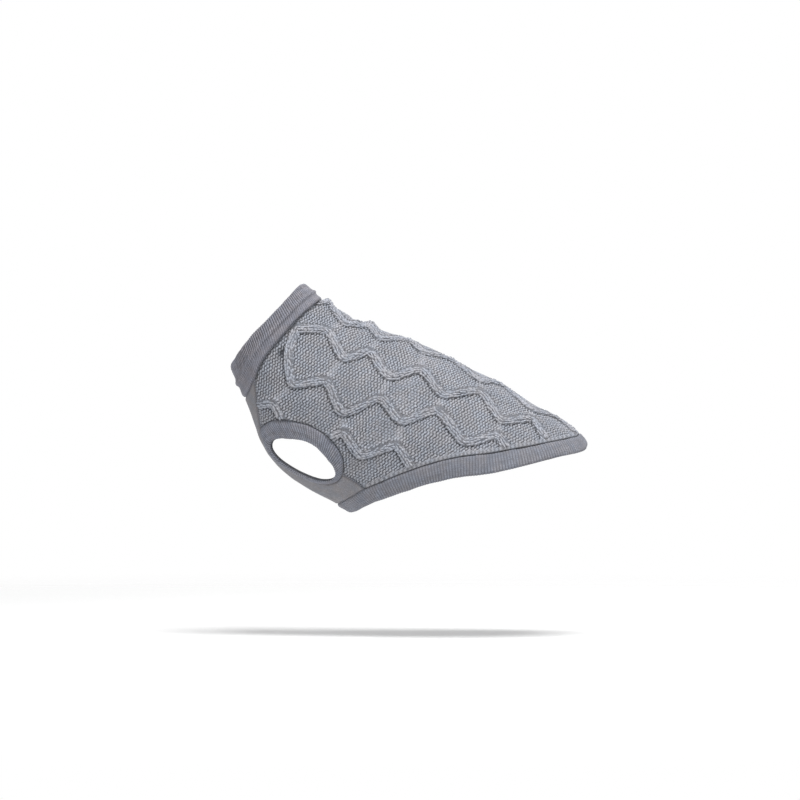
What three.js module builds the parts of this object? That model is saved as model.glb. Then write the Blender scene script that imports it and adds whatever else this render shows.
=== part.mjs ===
// A cable-knit sweater in its worn form: a cabled back panel, a plain belly panel, and ribbed
// bands at the neck, the two armholes and the hem. Millimetres, +Z up, +X to the tail end,
// +Y to the wearer's right. The origin is inside the back at the withers, where it hangs.
import * as THREE from 'three';

const degree = Math.PI / 180;

// Pose and reference point
const spinePitch = 29.4 * degree;
const origin = { s: 60, d: 8.2 };

// Cloth
const wall = 2.8;
const seamGap = 0.3;
const cable = { height: 3.0, halfWidth: 5.0, power: 1.4 };
const ribHeight = 0.7;
const edgeEase = { reach: 5, depth: 1.1 };

// Mesh spacing along and across the panels
const rowStep = 5.6;
const armholeStep = 4.2;
const columnStep = 7.8;
const plainStep = 9;

// A panel row has a multiple of columnGroup columns outside and a third of them inside. The plain
// loops of a band have plainShare points to a rib.
const columnGroup = 6;
const insideShare = 1 / 3;
const plainShare = 0.75;

// Radius at which the cloth is laid out flat to draw seams on it, and the neck's own radius
const flatRadius = 80;
const neckRadius = 58;

// Seams as closely spaced points
const fineSteps = 24;
const hemSteps = 720;
const girthSteps = 20;
const tiny = 1e-6;
const sharpestTurn = 0.4;

// How far from its ends a panel's rows take the bend of the collar seam and of the hem seam
const blend = { first: 90, last: 30 };

// The hollow inside the cloth, as elliptical sections square to the spine line.
// s: distance along the spine. top, bottom: depth under the spine line. half: half the width.
const sections = [
  { s: -40, top: 6.5, bottom: 103, half: 42 },
  { s: -16, top: 5.5, bottom: 122, half: 46 },
  { s: 6, top: 9.5, bottom: 140.5, half: 48.5 },
  { s: 26, top: 9.2, bottom: 157.5, half: 51.5 },
  { s: 50, top: 9.2, bottom: 170, half: 57.5 },
  { s: 80, top: 6, bottom: 175, half: 59.5 },
  { s: 115, top: -0.7, bottom: 174.5, half: 62.5 },
  { s: 160, top: -3.2, bottom: 174, half: 71.5 },
  { s: 205, top: -5.2, bottom: 169, half: 77.5 },
  { s: 250, top: -3.2, bottom: 164, half: 81 },
  { s: 290, top: -2.5, bottom: 160, half: 81 },
  { s: 312, top: 5.5, bottom: 157, half: 80 },
];

// Folds where the cloth bunches over the withers, running across the back.
// reach: the angle from the spine at which a fold has died out.
const folds = [
  { s: 14, height: 2.6, half: 8, reach: 60 },
  { s: 25, height: -1.3, half: 6, reach: 55 },
  { s: 45, height: -1.2, half: 6, reach: 45 },
  { s: 55, height: -2.4, half: 6, reach: 50 },
  { s: 67, height: 2.8, half: 9, reach: 62 },
];

// Seam lines. phi: angle round a section in degrees, 0 on the spine and 180 under the belly.
const collarSeam = [
  { phi: 0, s: 7.7 }, { phi: 25, s: 4.5 }, { phi: 48, s: -1 }, { phi: 67, s: -4.8 },
  { phi: 87, s: -8.8 }, { phi: 105, s: -11.8 }, { phi: 120, s: -12 }, { phi: 133, s: -10.4 },
  { phi: 151, s: -9 }, { phi: 180, s: -9.5 },
];
const collarEdge = [
  { phi: 0, s: -15.4 }, { phi: 25, s: -18.5 }, { phi: 53, s: -22.2 }, { phi: 82, s: -27.9 },
  { phi: 102, s: -32.4 }, { phi: 126, s: -35.4 }, { phi: 160, s: -36.4 }, { phi: 180, s: -35.2 },
];
const chestSeam = [
  { s: -10.4, phi: 133 }, { s: 3.4, phi: 143.5 }, { s: 11.4, phi: 151.5 }, { s: 20.5, phi: 158 },
];
const armholeOuter = [
  { s: 20.5, phi: 158 }, { s: 21.5, phi: 148 }, { s: 27, phi: 133.3 }, { s: 36, phi: 123.7 },
  { s: 46, phi: 117.5 }, { s: 57, phi: 113.2 }, { s: 69, phi: 111.8 }, { s: 80, phi: 112.4 },
  { s: 90.5, phi: 115 }, { s: 99, phi: 118.7 }, { s: 105, phi: 123 }, { s: 109, phi: 128 },
  { s: 111.5, phi: 133.5 },
];
const armholeInner = [
  { s: 111.5, phi: 133.5 }, { s: 111, phi: 140 }, { s: 105, phi: 147 }, { s: 94, phi: 152.5 },
  { s: 78, phi: 156.5 }, { s: 60, phi: 160 }, { s: 44, phi: 163 }, { s: 32, phi: 164.8 },
  { s: 24.5, phi: 163 }, { s: 20.5, phi: 158 },
];
const sideSeam = [{ s: 111.5, phi: 133.5 }, { s: 124, phi: 133.2 }, { s: 139, phi: 134.5 }];
const hemSeam = [
  { phi: 0, s: 297 }, { phi: 12, s: 296.6 }, { phi: 23, s: 294.5 }, { phi: 38.2, s: 283.4 },
  { phi: 53, s: 264.9 }, { phi: 64.9, s: 246 }, { phi: 75.9, s: 227 }, { phi: 85, s: 207 },
  { phi: 94.2, s: 189.4 }, { phi: 103.1, s: 174.9 }, { phi: 113, s: 161.3 },
  { phi: 124, s: 149 }, { phi: 134.5, s: 139 }, { phi: 150, s: 130.5 }, { phi: 167, s: 124.5 },
  { phi: 180, s: 122.5 },
];

// The free edge of the armhole band. lift: how far it stands out from the body sections.
const armholeEdge = [
  { s: 36, phi: 150, lift: 1 }, { s: 38.5, phi: 141.5, lift: 0.5 }, { s: 45, phi: 134.2, lift: 0 },
  { s: 54, phi: 127.8, lift: 0 }, { s: 63, phi: 123.9, lift: 0 }, { s: 73, phi: 122.8, lift: 0 },
  { s: 84, phi: 124.5, lift: 0 }, { s: 93.5, phi: 127.6, lift: 0.5 },
  { s: 101, phi: 130.5, lift: 1 }, { s: 106, phi: 134.5, lift: 2 }, { s: 105, phi: 140, lift: 3.5 },
  { s: 97, phi: 144.5, lift: 5 }, { s: 80, phi: 147.5, lift: 6 }, { s: 62, phi: 149.5, lift: 6.5 },
  { s: 47, phi: 151.5, lift: 6 }, { s: 39, phi: 152.5, lift: 3.5 },
];

// Where the hem seam's tail end turns across the spine.
const hemTip = { phi: 23, spineS: 297 };

// Hem band width, square to its seam.
const hemWidth = [
  { phi: 0, width: 13.5 }, { phi: 25, width: 15.5 }, { phi: 55, width: 17.5 },
  { phi: 80, width: 18.5 }, { phi: 110, width: 18 }, { phi: 145, width: 16.5 },
  { phi: 180, width: 16 },
];

// Cable strands on the left half of the back panel: s along the spine, v along the cloth from
// the spine. Each strand is a zigzag, and short links join it to the next at facing corners.
const strands = [
  [[4, 20], [18, 12], [41, 31], [57, 14], [76, 33], [105, 11], [129, 33], [150, 14], [184, 35],
    [207, 11], [246, 33], [268, 11], [298, 24]],
  [[2, 61], [25, 43], [53.5, 73], [77, 48], [103.5, 74], [130, 49], [161.6, 70], [187, 47],
    [225.8, 73.5], [249.5, 45], [272, 66]],
  [[2, 61], [9, 100], [26, 119], [52.5, 98], [85.6, 128], [108, 100], [140, 117], [162, 88],
    [201, 113], [229, 87], [250, 99]],
  [[-4, 153], [15, 137], [34, 150]],
  [[74, 151], [87, 142], [119, 161], [141.5, 138], [165, 154], [171, 160]],
];
const links = [
  { s: [41, 28], v: [31, 43] }, { s: [76, 77], v: [33, 48] }, { s: [129, 130], v: [33, 49] },
  { s: [184, 187], v: [35, 47] }, { s: [246, 249.5], v: [33, 45] },
  { s: [53.5, 52.5], v: [73, 98] }, { s: [103.5, 108], v: [74, 100] },
  { s: [161.6, 162], v: [70, 88] }, { s: [225.8, 229], v: [73.5, 87] },
  { s: [26, 15], v: [119, 137] }, { s: [85.6, 87], v: [128, 142] },
  { s: [140, 141.5], v: [117, 138] }, { s: [57, 57], v: [14, 0] }, { s: [105, 105], v: [11, 0] },
  { s: [150, 150], v: [14, 0] }, { s: [207, 207], v: [11, 0] }, { s: [268, 268], v: [11, 0] },
];

// Ribbed bands: a doubled knit with a rounded free edge. across: 0 at the seam, 1 at the edge.
const ribPitch = { collar: 2.45, armhole: 3.0, hem: 2.8 };
const collarProfile = [
  { across: 0, lift: 1.7 }, { across: 0.05, lift: 4.6, ribbed: true },
  { across: 0.93, lift: 4.4, ribbed: true },
  { across: 1, lift: 2.6 }, { across: 0.96, lift: 0.4 }, { across: 0.5, lift: 0 },
  { across: 0, lift: 0 },
];
const bandProfile = [
  { across: 0, lift: 1.7 }, { across: 0.12, lift: 3.4, ribbed: true },
  { across: 0.9, lift: 3.0, ribbed: true }, { across: 1, lift: 1.6 },
  { across: 0.93, lift: 0.1 }, { across: 0, lift: 0 },
];

// Value of a table column at x, on a smooth curve through its rows.
function lookUp(table, x, key, column) {
  const last = table.length - 1;
  const before = table.findLastIndex((row) => row[key] <= x);
  const i = Math.min(Math.max(before, 0), last - 1);
  const slope = (j) => {
    const a = table[Math.max(j - 1, 0)];
    const b = table[Math.min(j + 1, last)];
    return (b[column] - a[column]) / (b[key] - a[key]);
  };
  const from = table[i];
  const to = table[i + 1];
  const span = to[key] - from[key];
  const t = Math.min(Math.max((x - from[key]) / span, 0), 1);
  const rise = span * (t * (1 - t) ** 2 * slope(i) - t * t * (1 - t) * slope(i + 1));
  return (1 + 2 * t) * (1 - t) ** 2 * from[column] + t * t * (3 - 2 * t) * to[column] + rise;
}

// Point of the hollow at s and phi, with phi in degrees and positive on the wearer's left.
function hollowPoint(s, phi) {
  const top = lookUp(sections, s, 's', 'top');
  const bottom = lookUp(sections, s, 's', 'bottom');
  const half = lookUp(sections, s, 's', 'half');
  const depth = (top + bottom) / 2 - ((bottom - top) / 2) * Math.cos(phi * degree);
  return new THREE.Vector3(s - origin.s, -half * Math.sin(phi * degree), origin.d - depth);
}

function outwardNormal(s, phi) {
  const along = hollowPoint(s + 1, phi).sub(hollowPoint(s - 1, phi));
  const round = hollowPoint(s, phi + 1).sub(hollowPoint(s, phi - 1));
  return along.cross(round).negate().normalize();
}

// Depth of the folds across the back at a point.
function foldLift(s, phi) {
  let lift = 0;
  for (const fold of folds) {
    const away = Math.abs(s - fold.s) / fold.half;
    const round = Math.abs(phi) / fold.reach;
    if (away < 1 && round < 1) {
      lift += fold.height * Math.cos((away * Math.PI) / 2) ** 2 * Math.cos((round * Math.PI) / 2);
    }
  }
  return lift;
}

function clothPoint(s, phi, lift) {
  return hollowPoint(s, phi).addScaledVector(outwardNormal(s, phi), lift + foldLift(s, phi));
}

// Length along the cloth from the spine to phi, in the section at s.
function girthArc(s, phi) {
  let length = 0;
  let from = hollowPoint(s, 0);
  for (let k = 1; k <= girthSteps; k += 1) {
    const to = hollowPoint(s, (Math.abs(phi) * k) / girthSteps);
    length += to.distanceTo(from);
    from = to;
  }
  return length;
}

function distanceToSegment(s, v, a, b) {
  const [ds, dv] = [b[0] - a[0], b[1] - a[1]];
  const t = ((s - a[0]) * ds + (v - a[1]) * dv) / (ds * ds + dv * dv);
  const near = Math.min(Math.max(t, 0), 1);
  return Math.hypot(s - a[0] - near * ds, v - a[1] - near * dv);
}

// Height of the raised cables at a point of the back panel.
function cableLift(s, phi) {
  const v = girthArc(s, phi);
  let nearest = Infinity;
  for (const strand of strands) {
    for (let k = 1; k < strand.length; k += 1) {
      nearest = Math.min(nearest, distanceToSegment(s, v, strand[k - 1], strand[k]));
    }
  }
  for (const link of links) {
    const [a, b] = [[link.s[0], link.v[0]], [link.s[1], link.v[1]]];
    nearest = Math.min(nearest, distanceToSegment(s, v, a, b));
  }
  if (nearest >= cable.halfWidth) return 0;
  return cable.height * Math.cos(((nearest / cable.halfWidth) * Math.PI) / 2) ** cable.power;
}

const flatPoint = (row) => {
  return new THREE.Vector3(row.s, row.phi * degree * flatRadius, row.lift ?? 0);
};
const flatPhi = (point) => point.y / (degree * flatRadius);

// Closely spaced points on a smooth curve through the rows of a seam table. The cloth is laid
// out flat here: x is s, y is an arc length at one radius, z is how far the cloth stands out.
function seamLine(rows, closed = false) {
  const curve = new THREE.CatmullRomCurve3(rows.map(flatPoint), closed, 'centripetal');
  return curve.getPoints(fineSteps * (closed ? rows.length : rows.length - 1));
}

// Points at even distances along a line of points, its two ends kept.
function evenly(line, step) {
  const reach = [0];
  for (let k = 1; k < line.length; k += 1) reach.push(reach[k - 1] + line[k].distanceTo(line[k - 1]));
  const count = Math.max(2, Math.round(reach.at(-1) / step));
  return Array.from({ length: count + 1 }, (_, n) => {
    const target = (reach.at(-1) * n) / count;
    const k = Math.max(reach.findIndex((r) => r >= target - tiny), 1);
    return line[k - 1].clone().lerp(line[k], (target - reach[k - 1]) / (reach[k] - reach[k - 1]));
  });
}

// Moves a flat line sideways by distance(point), to its left as it runs.
function shifted(points, distance, closed = false) {
  const count = points.length;
  const normal = (a, b) => new THREE.Vector2(a.y - b.y, b.x - a.x).normalize();
  return points.map((point, k) => {
    const before = closed ? points[(k + count - 1) % count] : points[Math.max(k - 1, 0)];
    const after = closed ? points[(k + 1) % count] : points[Math.min(k + 1, count - 1)];
    const first = before === point ? normal(point, after) : normal(before, point);
    const second = after === point ? first : normal(point, after);
    const mid = first.clone().add(second).normalize();
    const reach = distance(point) / Math.max(mid.dot(first), sharpestTurn);
    return new THREE.Vector3(point.x + mid.x * reach, point.y + mid.y * reach, point.z);
  });
}

// Place along the body of a seam that runs round it, for phi of either side.
const seamS = (table) => (phi) => lookUp(table, phi > 180 ? 360 - phi : phi, 'phi', 's');

// The seam lines that two pieces share.
const chestLine = seamLine(chestSeam);
const sideLine = seamLine(sideSeam);
const armholeLine = seamLine([...armholeOuter, ...armholeInner.slice(1, -1)], true);
const armholeTurn = fineSteps * (armholeOuter.length - 1);
const hemLine = Array.from({ length: hemSteps + 1 }, (_, k) => {
  const phi = (360 * k) / hemSteps - 180;
  return flatPoint({ s: seamS(hemSeam)(Math.abs(phi)), phi });
});

// Collects the points and faces of one closed wall.
class Wall {
  constructor() {
    this.positions = [];
    this.faces = [];
  }

  add(point, t) {
    this.positions.push(point);
    return { id: this.positions.length - 1, t };
  }

  // Joins two rows of points, which may differ in count, with a strip of triangles.
  zip(a, b) {
    let i = 0;
    let j = 0;
    while (i < a.length - 1 || j < b.length - 1) {
      const bDone = j === b.length - 1;
      const aDone = i === a.length - 1;
      if (bDone || (!aDone && a[i].t + a[i + 1].t <= b[j].t + b[j + 1].t)) {
        this.faces.push([a[i].id, a[i + 1].id, b[j].id]);
        i += 1;
      } else {
        this.faces.push([a[i].id, b[j + 1].id, b[j].id]);
        j += 1;
      }
    }
  }

  volume() {
    return this.faces.reduce((sum, [a, b, c]) => {
      const across = this.positions[b].clone().cross(this.positions[c]);
      return sum + this.positions[a].dot(across) / 6;
    }, 0);
  }

  mesh(name, color) {
    const inward = this.volume() < 0;
    const faces = this.faces.map((face) => (inward ? face.toReversed() : face));
    const geometry = new THREE.BufferGeometry().setFromPoints(this.positions);
    geometry.setIndex(faces.flat());
    geometry.computeVertexNormals();
    const material = new THREE.MeshStandardMaterial({ color, roughness: 0.95, metalness: 0 });
    const mesh = new THREE.Mesh(geometry, material);
    mesh.name = name;
    return mesh;
  }
}

// Rows of a panel, fanned between a centre line and its side edge. A row's place(x) runs from
// one edge at x = -1 to the other at x = 1. The first and last rows follow seams round the body.
function fannedRows({ edge, centre, kept }, midPhi, firstSeam, lastSeam, step) {
  const last = edge.length - 1;
  const reach = (k) => flatPhi(edge[k]) - midPhi;
  const bend = (seam, k, x) => {
    return seam(midPhi + Math.abs(x) * reach(k)) - centre[k] - (edge[k].x - centre[k]) * x * x;
  };
  return edge.map((point, k) => {
    const nearFirst = Math.max(0, 1 - (centre[k] - centre[0]) / blend.first) ** 2;
    const nearLast = Math.max(0, 1 - (centre[last] - centre[k]) / blend.last) ** 2;
    const width = Math.abs(reach(k)) * degree * flatRadius;
    return {
      number: k,
      width,
      kept: kept[k],
      columns: columnGroup * Math.max(1, Math.round((2 * width) / step / columnGroup)),
      fromEnd: Math.min(k, last - k) * rowStep,
      place: (x) => ({
        s: centre[k] + (point.x - centre[k]) * x * x + nearFirst * bend(firstSeam, 0, x)
          + nearLast * bend(lastSeam, last, x),
        phi: midPhi + x * reach(k),
      }),
    };
  });
}

// A panel's closed wall: relief raises its outer points, and its inside is plain and coarser.
function panelMesh(name, color, rows, relief) {
  const panel = new Wall();
  const spread = (row, columns, lift) => {
    return Array.from({ length: columns + 1 }, (_, k) => {
      const x = (2 * k) / columns - 1;
      const { s, phi } = row.place(x);
      return panel.add(clothPoint(s, phi, lift(s, phi, x)), x);
    });
  };
  const outer = rows.map((row) => spread(row, row.columns, (s, phi, x) => {
    const inset = Math.min(row.fromEnd, (1 - Math.abs(x)) * row.width);
    const ease = Math.max(0, 1 - inset / edgeEase.reach) ** 2;
    return wall - edgeEase.depth * ease + relief(s, phi) * (1 - ease);
  }));
  const innerRows = rows.filter((row, k) => row.kept || k % 2 === 0 || k === rows.length - 1);
  const inner = innerRows.map((row) => {
    const columns = row.columns * (row.fromEnd ? insideShare : 1);
    return spread(row, columns, () => 0);
  });
  for (let k = 1; k < outer.length; k += 1) panel.zip(outer[k - 1], outer[k]);
  for (let k = 1; k < inner.length; k += 1) panel.zip(inner[k], inner[k - 1]);
  panel.zip(inner[0], outer[0]);
  panel.zip(outer.at(-1), inner.at(-1));
  const side = (field, fieldRows, end) => {
    return field.map((points, k) => ({ id: points.at(end).id, t: fieldRows[k].number }));
  };
  panel.zip(side(outer, rows, 0), side(inner, innerRows, 0));
  panel.zip(side(inner, innerRows, -1), side(outer, rows, -1));
  return panel.mesh(name, color);
}

// Side edge of a panel, joined from stretches of seam. Each stretch says which part of the
// panel's centre line its rows run to.
function panelEdge(stretches, gapSide) {
  const edge = [];
  const centre = [];
  const kept = [];
  for (const { line, from, to, spacing = rowStep } of stretches) {
    const points = evenly(line, spacing);
    const skip = edge.length ? 1 : 0;
    for (let k = skip; k < points.length; k += 1) {
      edge.push(points[k]);
      centre.push(from + ((to - from) * k) / (points.length - 1));
      kept.push(spacing < rowStep || k === points.length - 1);
    }
  }
  return { edge: shifted(edge, () => (gapSide * seamGap) / 2), centre, kept };
}

function makePanel({ name, color, stretches, gapSide, midPhi, step, relief }) {
  const outline = panelEdge(stretches, gapSide);
  const { edge, centre } = outline;
  const first = (phi) => seamS(collarSeam)(phi) + seamGap / 2;
  const last = (phi) => seamS(hemSeam)(phi) - seamGap / 2;
  centre[0] = first(midPhi);
  centre[centre.length - 1] = last(midPhi);
  edge[0].x = first(flatPhi(edge[0]));
  edge.at(-1).x = last(flatPhi(edge.at(-1)));
  return panelMesh(name, color, fannedRows(outline, midPhi, first, last, step), relief);
}

// Back panel: from the collar over both sides to the tail end of the hem.
function backPanel() {
  const hemSide = hemLine.filter((point) => {
    return flatPhi(point) > hemTip.phi - tiny && flatPhi(point) < sideSeam.at(-1).phi + tiny;
  });
  return makePanel({
    name: 'back_panel',
    color: 0x9a9ba3,
    gapSide: -1,
    midPhi: 0,
    step: columnStep,
    relief: cableLift,
    stretches: [
      { line: chestLine, from: collarSeam[0].s, to: 22 },
      { line: armholeLine.slice(0, armholeTurn + 1), from: 22, to: 112, spacing: armholeStep },
      { line: sideLine, from: 112, to: 141 },
      { line: hemSide.toReversed(), from: 141, to: hemTip.spineS },
    ],
  });
}

// Belly panel: a narrow bib on the chest, wider behind the armholes.
function bellyPanel() {
  return makePanel({
    name: 'belly_panel',
    color: 0x86838a,
    gapSide: 1,
    midPhi: 180,
    step: plainStep,
    relief: () => 0,
    stretches: [
      { line: chestLine, from: collarSeam.at(-1).s, to: 20 },
      {
        line: armholeLine.slice(armholeTurn).toReversed(),
        from: 20,
        to: 117,
        spacing: armholeStep,
      },
      { line: sideLine, from: 117, to: hemSeam.at(-1).s },
    ],
  });
}

// A ribbed band round an opening, between two lines of points that run round together.
function bandMesh({ name, color, seam, edge, profile, pitch, mirror = false }) {
  const band = new Wall();
  const readAt = (line, t) => {
    const place = t * (line.length - 1);
    const k = Math.floor(place);
    return line[k].clone().lerp(line[k + 1], place - k);
  };
  const around = seam.reduce((sum, point, k) => {
    return k ? sum + point.distanceTo(seam[k - 1]) : 0;
  }, 0);
  const ribs = Math.round(around / pitch);
  const loops = profile.map(({ across, lift, ribbed }) => {
    const count = ribbed ? 2 * ribs : Math.round(ribs * plainShare);
    const loop = Array.from({ length: count }, (_, k) => {
      const place = readAt(seam, k / count).lerp(readAt(edge, k / count), across);
      const crest = ribbed && k % 2 === 0 ? ribHeight : 0;
      const point = clothPoint(place.x, flatPhi(place), place.z + lift + crest);
      if (mirror) point.y *= -1;
      return band.add(point, k / count);
    });
    return [...loop, { id: loop[0].id, t: 1 }];
  });
  loops.forEach((loop, k) => band.zip(loop, loops[(k + 1) % loops.length]));
  return band.mesh(name, color);
}

function collar() {
  const line = (table, gap) => hemLine.map((point) => {
    const phi = flatPhi(point);
    return flatPoint({ s: seamS(table)(Math.abs(phi)) - gap, phi });
  });
  return bandMesh({
    name: 'collar',
    color: 0x85858e,
    seam: line(collarSeam, seamGap / 2),
    edge: line(collarEdge, 0),
    profile: collarProfile,
    pitch: ribPitch.collar * (flatRadius / neckRadius),
  });
}

function armholeBand(name, mirror) {
  const seam = evenly(armholeLine, 1);
  const edge = evenly(seamLine(armholeEdge, true), 1);
  const inside = shifted(seam.slice(0, -1), () => seamGap / 2, true);
  return bandMesh({
    name,
    color: 0x74757f,
    seam: [...inside, inside[0]],
    edge,
    profile: bandProfile,
    pitch: ribPitch.armhole,
    mirror,
  });
}

function hemBand() {
  const line = evenly(hemLine, 1);
  const width = (point) => lookUp(hemWidth, Math.abs(flatPhi(point)), 'phi', 'width');
  return bandMesh({
    name: 'hem_band',
    color: 0x85868f,
    seam: shifted(line, () => -seamGap / 2),
    edge: shifted(line, (point) => -width(point)),
    profile: bandProfile,
    pitch: ribPitch.hem,
  });
}

const sweater = new THREE.Group();
sweater.rotation.y = spinePitch;
sweater.add(backPanel(), bellyPanel(), collar(), hemBand());
sweater.add(armholeBand('cuff_left', false), armholeBand('cuff_right', true));

export default sweater;
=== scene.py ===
"""A cable-knit sweater in its worn form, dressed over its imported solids. Lengths in millimetres."""

import itertools
import math

import bpy
import numpy as np
from bpy.props import FloatProperty, FloatVectorProperty, PointerProperty
from bpy.types import Operator, Panel, PropertyGroup
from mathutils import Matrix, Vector


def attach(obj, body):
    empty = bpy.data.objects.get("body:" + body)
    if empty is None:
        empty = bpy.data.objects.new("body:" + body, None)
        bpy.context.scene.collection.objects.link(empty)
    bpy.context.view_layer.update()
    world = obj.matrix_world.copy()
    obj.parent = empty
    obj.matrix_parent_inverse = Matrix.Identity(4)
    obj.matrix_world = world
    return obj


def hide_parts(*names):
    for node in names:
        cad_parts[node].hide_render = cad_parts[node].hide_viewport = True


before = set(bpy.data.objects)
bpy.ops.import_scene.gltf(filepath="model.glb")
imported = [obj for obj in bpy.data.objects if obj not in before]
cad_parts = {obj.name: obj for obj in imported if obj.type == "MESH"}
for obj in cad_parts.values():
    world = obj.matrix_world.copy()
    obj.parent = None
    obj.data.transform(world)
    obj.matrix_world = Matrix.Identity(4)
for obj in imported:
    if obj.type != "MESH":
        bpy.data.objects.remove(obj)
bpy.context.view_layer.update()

bl_info = {
    "name": "Cable Sweater",
    "version": (1, 0, 0),
    "blender": (4, 5, 0),
    "location": "3D View > Sidebar > Sweater",
    "description": "Knits the panels, cables, ribbed bands and seams of a small worn sweater",
    "category": "Add Mesh",
}

MM = 0.001

# Studio, in metres: the floor's height and half width, the camera's distance and aim
FLOOR_Z, FLOOR_REACH = -0.31, 2.0
CAMERA_DISTANCE, CAMERA_AIM = 5.0, (0.0338, 0.0, -0.0734)
SENSOR_WIDTH, VIEW_WIDTH = 36.0, 0.8

# Pose: slope of the spine, and the origin's place along it and depth under it
SPINE_PITCH = math.radians(29.4)
ORIGIN_S, ORIGIN_D = 60.0, 8.2

# Cloth: its thickness, the gap at a seam, and the tube that flat lines are laid out on
WALL = 2.8
SEAM_GAP = 0.3
FLAT_RADIUS = 80.0
FLAT_PER_DEGREE = math.radians(FLAT_RADIUS)
NECK_RADIUS = 58.0

# Lines: points to a stretch of a curve, and how far away a line still counts as near
CURVE_STEPS = 24
SEARCH_REACH = 14.0

# Mesh spacing of the belly's columns and rows, inside the panels and round a band's section
BELLY_COLUMNS, BELLY_ROWS, INNER_COLUMNS, BAND_STEP = 0.6, 0.72, 2.2, 0.8
COLUMNS_PER_RIB = 6
RING = np.arange(6) * np.pi / 3

# Sewing thread: radius, height over the hollow, length of a lump
THREAD_RADIUS, THREAD_LIFT, THREAD_PITCH = 0.85, 0.9, 2.2

# Legs of the cable stitches: radius, slant, length in stitches, unevenness, and the plumpness
# and painted light along a leg, darker at its ends. The lower column of a cable lies a little deeper.
LEG_RADIUS, LEG_LEAN, LEG_LENGTH, LEG_JITTER, LOWER_DEPTH = 1.1, 0.32, 1.7, 0.4, 0.45
LEG_SWELL = np.array([0.22, 0.85, 1.0, 0.8, 0.2])
LEG_LIGHT = np.array([0.2, 0.68, 0.92, 0.72, 0.25])

# Unevenness of the courses, across and along: height, size and seed of each ripple
ACROSS_RIPPLES = ((0.8, 40, 12), (0.4, 10, 15))
ALONG_RIPPLES = ((0.8, 34, 11), (0.3, 11, 16))

# Soft mounds on the back: place, distance round, half sizes along and round
COLLAR_PIT = (1, 88, 4, 5)
COLLAR_PUFF = (6, 57, 9, 8)
CREST_HEIGHT, CREST_HALF = 2.2, 13

# Map of a panel: a face's width, their height, then the rims' first strip, pitch and width
TILE_WIDTH, TILE_HEIGHT = 0.48, 0.96
RIM_START, RIM_PITCH, RIM_WIDTH = 0.965, 0.008, 0.006

# The hollow inside the cloth: distance along the spine, top and bottom depth, half the width.
SECTIONS = np.array([
    (-40, 6.5, 103, 42), (-16, 5.5, 122, 46), (6, 9.5, 140.5, 48.5), (26, 9.2, 157.5, 51.5),
    (50, 9.2, 170, 57.5), (80, 6, 175, 59.5), (115, -0.7, 174.5, 62.5), (160, -3.2, 174, 71.5),
    (205, -5.2, 169, 77.5), (250, -3.2, 164, 81), (290, -2.5, 160, 81), (312, 5.5, 157, 80),
], float)
TOP, BOTTOM, HALF = 1, 2, 3

# Folds across the withers: place, height, half width, angle from the spine where it has died out.
FOLDS = (
    (14, 2.6, 8, 60), (25, -1.3, 6, 55), (45, -1.2, 6, 45), (55, -2.4, 6, 50), (67, 2.8, 9, 62),
)

# Seams that run round the body: angle from the spine in degrees, place along the spine.
COLLAR_SEAM = np.array([
    (0, 7.7), (25, 4.5), (48, -1), (67, -4.8), (87, -8.8), (105, -11.8), (120, -12),
    (133, -10.4), (151, -9), (180, -9.5),
], float)
COLLAR_EDGE = np.array([
    (0, -15.4), (25, -18.5), (53, -22.2), (82, -27.9), (102, -32.4), (126, -35.4),
    (160, -36.4), (180, -35.2),
], float)
HEM_SEAM = np.array([
    (0, 297), (12, 296.6), (23, 294.5), (38.2, 283.4), (53, 264.9), (64.9, 246), (75.9, 227),
    (85, 207), (94.2, 189.4), (103.1, 174.9), (113, 161.3), (124, 149), (134.5, 139),
    (150, 130.5), (167, 124.5), (180, 122.5),
], float)
HEM_TIP_ANGLE, HEM_TIP_S = 23.0, 297.0
HEM_WIDTH = np.array([
    (0, 11.5), (25, 14.5), (55, 17.5), (80, 18.5), (110, 18), (145, 16.5), (180, 16),
], float)

# Other seams: place along the spine, angle from the spine.
CHEST_SEAM = ((-10.4, 133), (3.4, 143.5), (11.4, 151.5), (20.5, 158))
ARMHOLE_OUTER = (
    (20.5, 158), (21.5, 148), (27, 133.3), (36, 123.7), (46, 117.5), (57, 113.2), (69, 111.8),
    (80, 112.4), (90.5, 115), (99, 118.7), (105, 123), (109, 128), (111.5, 133.5),
)
ARMHOLE_INNER = (
    (111.5, 133.5), (111, 140), (105, 147), (94, 152.5), (78, 156.5), (60, 160), (44, 163),
    (32, 164.8), (24.5, 163), (20.5, 158),
)
SIDE_SEAM = ((111.5, 133.5), (124, 133.2), (139, 134.5))

# Free edge of an armhole band: place, angle, how far it stands out.
ARMHOLE_EDGE = (
    (36, 150, 1), (38.5, 141.5, 0.5), (45, 134.2, 0), (54, 127.8, 0), (63, 123.9, 0),
    (73, 122.8, 0), (84, 124.5, 0), (93.5, 127.6, 0.5), (101, 130.5, 1), (106, 134.5, 2),
    (105, 140, 3.5), (97, 144.5, 5), (80, 147.5, 6), (62, 149.5, 6.5), (47, 151.5, 6),
    (39, 152.5, 3.5),
)

# Cable strands on one half of the back: place along the spine, distance round from the spine.
STRANDS = (
    ((4, 18), (18.5, 10), (40, 27), (59, 13), (78, 27), (104, 8), (122, 25), (150, 10),
     (185.5, 30), (204, 9), (243, 30), (269, 9), (298, 24)),
    ((1, 60), (29.5, 45), (56.5, 67.5), (76, 49), (106, 70.5), (129, 50), (161, 70),
     (190.5, 46.5), (222.5, 70.5), (249, 45.5), (272, 65)),
    ((1, 60), (6, 84), (26, 110.5), (53, 94), (83, 119), (107.5, 93), (138, 110), (163, 86),
     (201, 108.5), (226.5, 86.5), (245, 97)),
    ((-4, 157), (18, 135.5), (37, 149)),
    ((84, 145), (92.5, 136), (119, 155.5), (144.5, 133), (165, 147), (170, 151)),
)
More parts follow.
